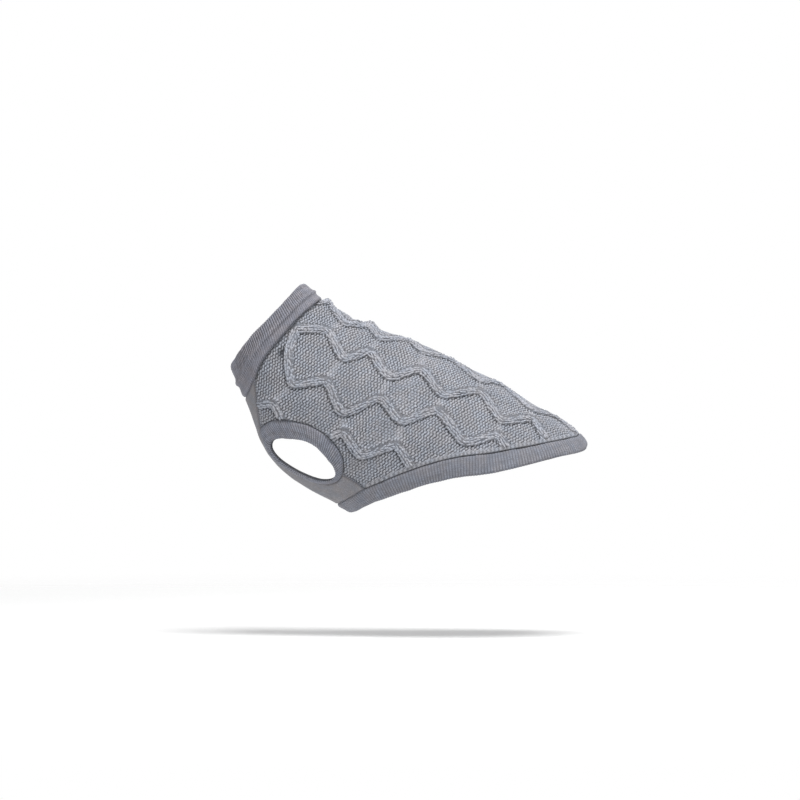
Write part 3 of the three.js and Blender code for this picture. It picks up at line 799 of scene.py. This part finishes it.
def thread_piece(name, lines, material):
    """A sewn seam: one lumpy thread bundle along each flat line. lines: (points, mirror)."""
    sides = len(RING)
    points, faces, uv, shade_mask, offset = [], [], [], [], 0
    for number, (line, mirror) in enumerate(lines):
        path = evenly(line, 0.7)
        reach = reach_along(path)
        run = np.gradient(path[:, :2], axis=0)
        run /= np.linalg.norm(run, axis=1, keepdims=True)
        lump = 0.82 + 0.18 * np.cos(2 * np.pi * reach / THREAD_PITCH)
        out = THREAD_RADIUS * lump[:, None] * np.cos(RING)
        up = THREAD_LIFT + THREAD_RADIUS * lump[:, None] * np.sin(RING) + path[:, 2:3]
        s = path[:, 0:1] - run[:, 1:2] * out
        phi = (path[:, 1:2] + run[:, 0:1] * out) / FLAT_PER_DEGREE
        quad, ring, turn = tube_faces(len(path), sides)
        spot = np.stack([ring / len(path), (number + 0.9 * turn / sides) / len(lines)], -1)
        if not mirror:
            quad, spot = quad[:, ::-1], spot[:, ::-1]
        points.append(on_side(cloth_point(s, phi, up), mirror).reshape(-1, 3))
        faces.append(quad + offset)
        uv.append(spot.reshape(-1, 2))
        # Painted shade: darker between the lumps of the thread.
        shade_mask.append(np.repeat(0.2 + 0.5 * (lump - 0.64) / 0.36, sides))
        offset += len(path) * sides
    return mesh_piece(name, np.concatenate(points), faces, uv, np.concatenate(shade_mask), material)


def set_inputs(node, values):
    for name, value in values.items():
        node.inputs[name].default_value = value


def wool_group():
    """Colour, roughness and fibre height of melange wool: fibres dyed apart, blended and spun. The
    colour also carries painted shade in the hollows, and random lighter and darker patches.
    """
    group = bpy.data.node_groups.get("Melange Wool")
    if group:
        return group
    group = bpy.data.node_groups.new("Melange Wool", "ShaderNodeTree")
    colour, value = "NodeSocketColor", "NodeSocketFloat"
    for name, kind, default in (
        ("Wool", colour, (0.3, 0.3, 0.33, 1)), ("Dark Fibre", colour, (0.08, 0.08, 0.1, 1)),
        ("Light Fibre", colour, (0.6, 0.6, 0.62, 1)), ("Shade Mask", value, 1.0),
        ("Hollow Shade", value, 0.6), ("Fleck", value, 0.5),
    ):
        socket = group.interface.new_socket(name=name, in_out="INPUT", socket_type=kind)
        socket.default_value = default
    for name, kind in (("Color", colour), ("Roughness", value), ("Fibre", value)):
        group.interface.new_socket(name=name, in_out="OUTPUT", socket_type=kind)
    nodes, links = group.nodes, group.links
    given, made = nodes.new("NodeGroupInput"), nodes.new("NodeGroupOutput")
    place = nodes.new("ShaderNodeTexCoord")

    def noise(scale, detail, rough, squash=None):
        vector = place.outputs["Object"]
        if squash:
            mapping = nodes.new("ShaderNodeMapping")
            set_inputs(mapping, {"Scale": squash, "Rotation": (0.3, 0.6, 0.9)})
            links.new(vector, mapping.inputs["Vector"])
            vector = mapping.outputs["Vector"]
        node = nodes.new("ShaderNodeTexNoise")
        set_inputs(node, {"Scale": scale, "Detail": detail, "Roughness": rough})
        links.new(vector, node.inputs["Vector"])
        return node.outputs["Fac"]

    def level(value, low, high, to_low=0.0, to_high=1.0):
        node = nodes.new("ShaderNodeMapRange")
        node.interpolation_type = "SMOOTHSTEP"
        set_inputs(node, {"From Min": low, "From Max": high, "To Min": to_low, "To Max": to_high})
        links.new(value, node.inputs["Value"])
        return node.outputs["Result"]

    def maths(kind, a, b):
        node = nodes.new("ShaderNodeMath")
        node.operation = kind
        for socket, value in zip(node.inputs, (a, b)):
            if isinstance(value, (int, float)):
                socket.default_value = value
            else:
                links.new(value, socket)
        return node.outputs[0]

    def mix(kind, factor, a, b):
        node = nodes.new("ShaderNodeMix")
        node.data_type, node.blend_type = "RGBA", kind
        for socket, value in ((0, factor), (6, a), (7, b)):
            if isinstance(value, (float, tuple)):
                node.inputs[socket].default_value = value
            else:
                links.new(value, node.inputs[socket])
        return node.outputs[2]

    strands = noise(1500, 3, 0.6, (1.0, 0.35, 1.0))
    flecks = noise(620, 4, 0.7)
    patches = noise(38, 3, 0.5)
    hues = level(noise(95, 3, 0.6), 0.38, 0.62)
    tint = mix("MIX", hues, (0.97, 1.0, 1.02, 1.0), (1.03, 1.01, 0.98, 1.0))
    dark = maths("MULTIPLY", level(strands, 0.5, 0.36), given.outputs["Fleck"])
    light = maths("MULTIPLY", level(flecks, 0.53, 0.68), given.outputs["Fleck"])
    colour = mix("MIX", dark, given.outputs["Wool"], given.outputs["Dark Fibre"])
    colour = mix("MIX", light, colour, given.outputs["Light Fibre"])
    # Painted shade: the colour darkens by the hollow shade where the mark is low, then random patches
    # of the wool lighten or darken it a little.
    shade = level(given.outputs["Shade Mask"], 0.0, 0.9, 1.0, 0.0)
    shade = maths("MULTIPLY", shade, given.outputs["Hollow Shade"])
    shade = maths("SUBTRACT", 1.0, shade)
    shade = maths("MULTIPLY", shade, level(patches, 0.3, 0.7, 0.94, 1.06))
    grey = nodes.new("ShaderNodeCombineColor")
    for socket in grey.inputs:
        links.new(shade, socket)
    colour = mix("MULTIPLY", 1.0, colour, tint)
    links.new(mix("MULTIPLY", 1.0, colour, grey.outputs[0]), made.inputs["Color"])
    links.new(level(flecks, 0.3, 0.7, 0.86, 1.0), made.inputs["Roughness"])
    links.new(maths("ADD", strands, maths("MULTIPLY", flecks, 0.6)), made.inputs["Fibre"])
    return group


def wool_material(name, colour, hollow=0.9, fleck=0.6):
    """Wool of one colour. hollow: shade between the stitches. fleck: share of odd fibres."""
    material = bpy.data.materials.new(name)
    material.use_nodes = True
    nodes, links = material.node_tree.nodes, material.node_tree.links
    shader = nodes["Principled BSDF"]
    set_inputs(shader, {
        "Sheen Weight": 0.2, "Sheen Roughness": 0.45, "Sheen Tint": (0.9, 0.92, 1.0, 1),
        "Specular IOR Level": 0.2,
    })
    wool = nodes.new("ShaderNodeGroup")
    wool.node_tree = wool_group()
    set_inputs(wool, {
        "Wool": (*colour, 1), "Dark Fibre": (*(0.3 * c for c in colour), 1),
        "Light Fibre": (*(min(1, 1.9 * c) for c in colour), 1),
        "Hollow Shade": hollow, "Fleck": fleck,
    })
    mark = nodes.new("ShaderNodeAttribute")
    mark.attribute_name = "shade_mask"
    links.new(mark.outputs["Fac"], wool.inputs["Shade Mask"])
    links.new(wool.outputs["Color"], shader.inputs["Base Color"])
    links.new(wool.outputs["Roughness"], shader.inputs["Roughness"])
    bumps = nodes.new("ShaderNodeBump")
    set_inputs(bumps, {"Strength": 0.3, "Distance": 0.0006})
    links.new(wool.outputs["Fibre"], bumps.inputs["Height"])
    links.new(bumps.outputs["Normal"], shader.inputs["Normal"])
    return material


def knit_colour(title, text, default):
    return FloatVectorProperty(
        name=title, description=text, default=default, size=3, min=0, max=1, subtype="COLOR"
    )


def knit_size(title, text, default, least):
    return FloatProperty(name=title, description=text, default=default, min=least)


class SweaterKnit(PropertyGroup):
    """Sizes of the stitches, in millimetres."""

    course_pitch: knit_size("Course pitch", "Distance between courses", 3.1, 2)
    course_sway: knit_size("Course sway", "How far a course waves", 0.8, 0)
    course_height: knit_size("Course height", "Height of the courses", 1.7, 0)
    wale_pitch: knit_size("Wale pitch", "Width of a stitch of the back", 5.8, 2)
    cable_half: knit_size("Cable half width", "Half the width of a cable", 5.1, 2)
    cable_height: knit_size("Cable height", "Height of a cable's body", 2.5, 0)
    stitch_pitch: knit_size("Stitch pitch", "Length of a cable stitch", 3.5, 1)
    fine_wale: knit_size("Fine wale", "Width of a stitch of the belly", 2.0, 1)
    fine_course: knit_size("Fine course", "Length of a stitch of the belly", 1.7, 1)
    rib_height: knit_size("Rib height", "Height of the ribs of the bands", 0.75, 0)
    back_step: knit_size("Back spacing", "Mesh spacing of the back", 0.95, 0.5)


class SweaterColours(PropertyGroup):
    """Colours of the wool."""

    back: knit_colour("Back", "Chunky wool of the back", (0.37, 0.38, 0.424))
    # The belly's grey is set darker than the back's, standing in for the shade under the body:
    # painted shade.
    belly: knit_colour("Belly", "Fine wool of the belly panel", (0.22, 0.216, 0.232))
    collar: knit_colour("Collar", "Wool of the collar", (0.288, 0.284, 0.325))
    hem: knit_colour("Hem", "Wool of the hem band", (0.235, 0.24, 0.275))
    cuff: knit_colour("Armhole bands", "Wool of the armhole bands", (0.285, 0.292, 0.34))
    floor: knit_colour("Floor", "Studio floor", (0.82, 0.82, 0.82))


class SWEATER_OT_back(Operator):
    """Knit the back panel, one half on each side of the spine"""

    bl_idname = "sweater.back"
    bl_label = "Back panel"

    def execute(self, context):
        knit, colours = context.scene.sweater_knit, context.scene.sweater_colours
        wool = wool_material("Back Wool", colours.back)
        grid = back_grid(knit.back_step)
        for name, mirror in (("back_left", False), ("back_right", True)):
            piece = panel_piece(
                name, grid, 0.0, knit.back_step, 3, lambda s, phi: back_lift(s, phi, knit),
                lambda s, phi: 0.1 * ripple(s, girth_at(s, phi), 12, 3), wool, mirror,
            )
            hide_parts("back_panel")
            legs = stitches_piece(name.replace("back", "cables"), grid, knit, wool, mirror)
            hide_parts("back_panel")
        return {"FINISHED"}


class SWEATER_OT_belly(Operator):
    """Knit the plain belly panel"""

    bl_idname = "sweater.belly"
    bl_label = "Belly panel"

    def execute(self, context):
        knit, colours = context.scene.sweater_knit, context.scene.sweater_colours
        wool = wool_material("Belly Wool", colours.belly, fleck=0.35, hollow=0.45)
        sewn = [COLLAR_CLOTH, ARMHOLE_CLOTH, CHEST_CLOTH, SIDE_CLOTH, HEM_CLOTH]

        def lift(s, phi):
            turned = np.where(phi > 180, 360 - phi, phi)
            v = girth_at(s, turned)
            round_v = np.where(phi > 180, 2 * girth_at(s, np.full_like(s, 180.0)) - v, v)
            fine = stocking_relief(s, round_v, knit.fine_wale, knit.fine_course)
            seams = distance_to(s, v, sewn)
            sunk = 1 - ease(0.0, 2.6, seams)
            tall = (WALL - 0.5 + 0.45 * fine + 0.2 * ripple(s, v, 18, 4)) * (1 - sunk) + 1.5 * sunk
            # Painted shade: darker between the fine stitches and near the seams.
            return tall, (0.35 + 0.65 * fine) * (0.3 + 0.7 * ease(0.2, 2.2, seams))

        piece = panel_piece(
            "belly", belly_grid(BELLY_ROWS), -1.0, BELLY_COLUMNS, 4, lift,
            lambda s, phi: 0.1 * ripple(s, phi, 12, 3), wool,
        )
        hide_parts("belly_panel")
        return {"FINISHED"}


class SWEATER_OT_collar(Operator):
    """Knit the ribbed collar"""

    bl_idname = "sweater.collar"
    bl_label = "Collar"

    def execute(self, context):
        knit, colours = context.scene.sweater_knit, context.scene.sweater_colours
        wool = wool_material("Collar Wool", colours.collar, fleck=0.4, hollow=0.85)
        seam = round_line(COLLAR_SEAM, SEAM_GAP / 2)
        ribs = round(reach_along(seam)[-1] / (2.9 * FLAT_RADIUS / NECK_RADIUS))
        piece = band_piece(
            "collar_rib", seam, round_line(COLLAR_EDGE), COLLAR_SECTION, ribs, 1.8,
            1.35 * knit.rib_height, 0.45, wool, twist=3,
        )
        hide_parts("collar")
        return {"FINISHED"}


class SWEATER_OT_cuffs(Operator):
    """Knit the ribbed bands of the armholes"""

    bl_idname = "sweater.cuffs"
    bl_label = "Armhole bands"

    def execute(self, context):
        knit, colours = context.scene.sweater_knit, context.scene.sweater_colours
        wool = wool_material("Armhole Wool", colours.cuff, fleck=0.4, hollow=0.75)
        seam = evenly(ARMHOLE_LINE, 1.0)
        edge = curve_through(flat(ARMHOLE_EDGE), closed=True)
        edge = read_along(edge, np.linspace(0, 1, len(seam)))
        ribs = round(reach_along(seam)[-1] / 3.0)
        for name, node, mirror in (
            ("cuff_rib_left", "cuff_left", False), ("cuff_rib_right", "cuff_right", True),
        ):
            piece = band_piece(
                name, shifted(seam, SEAM_GAP / 2, closed=True), edge, BAND_SECTION, ribs, 1.9,
                knit.rib_height, 0.8, wool, mirror,
            )
            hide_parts(node)
        return {"FINISHED"}


class SWEATER_OT_hem(Operator):
    """Knit the ribbed hem band"""

    bl_idname = "sweater.hem"
    bl_label = "Hem band"

    def execute(self, context):
        knit, colours = context.scene.sweater_knit, context.scene.sweater_colours
        wool = wool_material("Hem Wool", colours.hem, fleck=0.4, hollow=0.5)
        line = evenly(HEM_LINE, 1.0)
        width = look_up(HEM_WIDTH, np.abs(line[:, 1] / FLAT_PER_DEGREE))
        ribs = round(reach_along(line)[-1] / 2.8)
        piece = band_piece(
            "hem_rib", shifted(line, -SEAM_GAP / 2), shifted(line, -width), BAND_SECTION, ribs, 1.9,
            knit.rib_height, 0.8, wool,
        )
        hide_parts("hem_band")
        return {"FINISHED"}


class SWEATER_OT_seams(Operator):
    """Sew the seams between the panels and the bands"""

    bl_idname = "sweater.seams"
    bl_label = "Seams"

    def execute(self, context):
        colours, sides = context.scene.sweater_colours, (False, True)
        wool = wool_material("Seam Thread", colours.cuff, hollow=0.5, fleck=0.3)
        for name, lines, mirrors, slot in (
            ("seam_hem", [evenly(HEM_LINE, 1.0)], (False,), "rib_hem"),
            ("seam_collar", [round_line(COLLAR_SEAM)], (False,), "rib_collar"),
            ("seam_armholes", [ARMHOLE_LINE], sides, "cable_knit"),
            ("seam_sides", [CHEST_LINE, SIDE_LINE], sides, "plain_knit"),
        ):
            paths = [(line, mirror) for mirror in mirrors for line in lines]
            piece = thread_piece(name, paths, wool)
        return {"FINISHED"}


class SWEATER_OT_stage(Operator):
    """Set up the pale studio, its lights and the camera"""

    bl_idname = "sweater.stage"
    bl_label = "Stage"

    def execute(self, context):
        scene = context.scene
        floor = bpy.data.materials.new("Studio Paper")
        floor.use_nodes = True
        nodes, links = floor.node_tree.nodes, floor.node_tree.links
        paper = nodes["Principled BSDF"]
        set_inputs(paper, {
            "Base Color": (*scene.sweater_colours.floor, 1), "Roughness": 0.9,
            "Specular IOR Level": 0.1,
        })
        # The paper fades out towards its rim, and is clear from below.
        side, either = nodes.new("ShaderNodeNewGeometry"), nodes.new("ShaderNodeMixShader")
        length, fade = nodes.new("ShaderNodeVectorMath"), nodes.new("ShaderNodeMapRange")
        length.operation, fade.interpolation_type = "LENGTH", "SMOOTHSTEP"
        set_inputs(fade, {"From Min": 0.5, "From Max": 1.9})
        gone = nodes.new("ShaderNodeMath")
        gone.operation = "MAXIMUM"
        links.new(nodes.new("ShaderNodeTexCoord").outputs["Object"], length.inputs[0])
        links.new(length.outputs["Value"], fade.inputs["Value"])
        links.new(fade.outputs["Result"], gone.inputs[0])
        links.new(side.outputs["Backfacing"], gone.inputs[1])
        links.new(gone.outputs[0], either.inputs[0])
        links.new(paper.outputs[0], either.inputs[1])
        links.new(nodes.new("ShaderNodeBsdfTransparent").outputs[0], either.inputs[2])
        links.new(either.outputs[0], nodes["Material Output"].inputs["Surface"])
        corners = ((-1, -1), (1, -1), (1, 1), (-1, 1))
        points = [(x * FLOOR_REACH, y * FLOOR_REACH, FLOOR_Z) for x, y in corners]
        mesh = bpy.data.meshes.new("studio")
        mesh.from_pydata(points, [], [(0, 1, 2, 3)])
        mesh.materials.append(floor)
        stage = bpy.data.objects.new("studio", mesh)
        scene.collection.objects.link(stage)
        for name, place, aim, size, power in (
            ("top", (0.35, -0.9, 1.9), (0.03, 0, -0.08), 1.1, 56),
            ("front", (-1.1, -2.2, 0.5), (0.03, 0, -0.1), 1.2, 10),
            ("far", (0.6, 1.7, 1.5), (0.03, 0, -0.05), 1.2, 20),
        ):
            light = bpy.data.lights.new(name, "AREA")
            light.size, light.energy = size, power
            lamp = bpy.data.objects.new(name, light)
            lamp.location = place
            lamp.rotation_euler = (Vector(aim) - Vector(place)).to_track_quat("-Z", "Y").to_euler()
            scene.collection.objects.link(lamp)
        world = bpy.data.worlds.new("studio air")
        world.use_nodes = True
        nodes, links = world.node_tree.nodes, world.node_tree.links
        air, seen = nodes["Background"], nodes.new("ShaderNodeBackground")
        for background, strength in ((air, 0.45), (seen, 1.0)):
            set_inputs(background, {"Color": (1, 1, 1, 1), "Strength": strength})
        ray, either = nodes.new("ShaderNodeLightPath"), nodes.new("ShaderNodeMixShader")
        links.new(ray.outputs["Is Camera Ray"], either.inputs[0])
        links.new(air.outputs[0], either.inputs[1])
        links.new(seen.outputs[0], either.inputs[2])
        links.new(either.outputs[0], nodes["World Output"].inputs["Surface"])
        scene.world = world
        scene.view_settings.view_transform = "Standard"
        data = bpy.data.cameras.new("photograph")
        data.sensor_width = SENSOR_WIDTH
        data.lens = SENSOR_WIDTH * CAMERA_DISTANCE / VIEW_WIDTH
        camera = bpy.data.objects.new("photograph", data)
        camera.location = Vector(CAMERA_AIM) + Vector((0, -CAMERA_DISTANCE, 0))
        camera.rotation_euler = (math.pi / 2, 0, 0)
        scene.collection.objects.link(camera)
        scene.camera = camera
        return {"FINISHED"}


class SWEATER_PT_panel(Panel):
    """Steps and settings of the sweater"""

    bl_label = "Cable Sweater"
    bl_idname = "SWEATER_PT_panel"
    bl_space_type = "VIEW_3D"
    bl_region_type = "UI"
    bl_category = "Sweater"

    def draw(self, context):
        for step in STEPS:
            self.layout.operator(step.bl_idname)
        for group in (context.scene.sweater_knit, context.scene.sweater_colours):
            box = self.layout.box()
            for name in group.__annotations__:
                box.prop(group, name)


STEPS = (
    SWEATER_OT_back, SWEATER_OT_belly, SWEATER_OT_collar, SWEATER_OT_cuffs, SWEATER_OT_hem,
    SWEATER_OT_seams, SWEATER_OT_stage,
)
CLASSES = (SweaterKnit, SweaterColours, *STEPS, SWEATER_PT_panel)


def register():
    for cls in CLASSES:
        bpy.utils.register_class(cls)
    bpy.types.Scene.sweater_knit = PointerProperty(type=SweaterKnit)
    bpy.types.Scene.sweater_colours = PointerProperty(type=SweaterColours)


def unregister():
    del bpy.types.Scene.sweater_colours
    del bpy.types.Scene.sweater_knit
    for cls in reversed(CLASSES):
        bpy.utils.unregister_class(cls)


def main():
    register()
    for step in STEPS:
        area, name = step.bl_idname.split(".")
        getattr(getattr(bpy.ops, area), name)()


if __name__ == "__main__":
    main()
